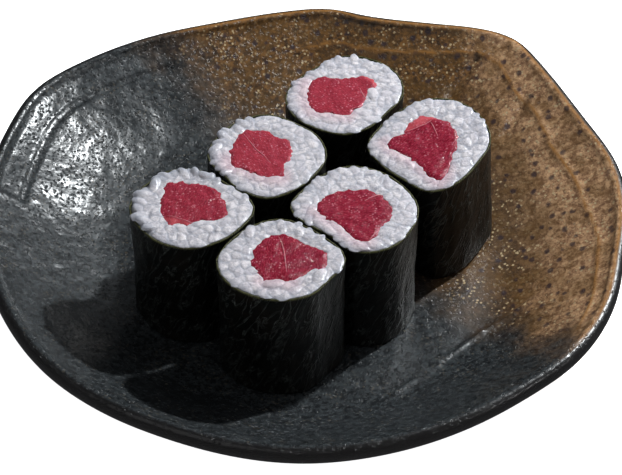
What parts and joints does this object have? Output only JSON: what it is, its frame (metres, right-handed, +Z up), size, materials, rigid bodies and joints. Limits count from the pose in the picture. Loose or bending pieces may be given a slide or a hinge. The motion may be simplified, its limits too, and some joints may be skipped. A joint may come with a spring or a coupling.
{
  "type": "maki sushi rolls on a stoneware dish",
  "caption": "Tuna maki sushi rolls, cut flat and stood on end in an irregular hand-formed stoneware dish with a foot ring.",
  "frame": {"origin": "on the table under the middle of the dish, the centre of its outer bounds", "axes": "+Z up, +X to the diner's right, +Y away from the diner"},
  "size_m": [0.1576, 0.1538, 0.043],
  "materials": {
    "dish_glaze": "iron-black and amber-brown stoneware glaze, pitted, glossy",
    "nori": "dried seaweed sheet, near black, crinkled, slightly damp sheen",
    "rice": "cooked short-grain rice, moist, translucent white",
    "tuna": "raw red tuna, moist, fine grain with pale sinews"
  },
  "bodies": {
    "root": {"dish": "dish_glaze", "nori_1": "nori", "nori_2": "nori", "nori_3": "nori", "nori_4": "nori", "nori_5": "nori", "nori_6": "nori", "rice_1": "rice", "rice_2": "rice", "rice_3": "rice", "rice_4": "rice", "rice_5": "rice", "rice_6": "rice", "tuna_1": "tuna", "tuna_2": "tuna", "tuna_3": "tuna", "tuna_4": "tuna", "tuna_5": "tuna", "tuna_6": "tuna"}
  },
  "joints": []
}
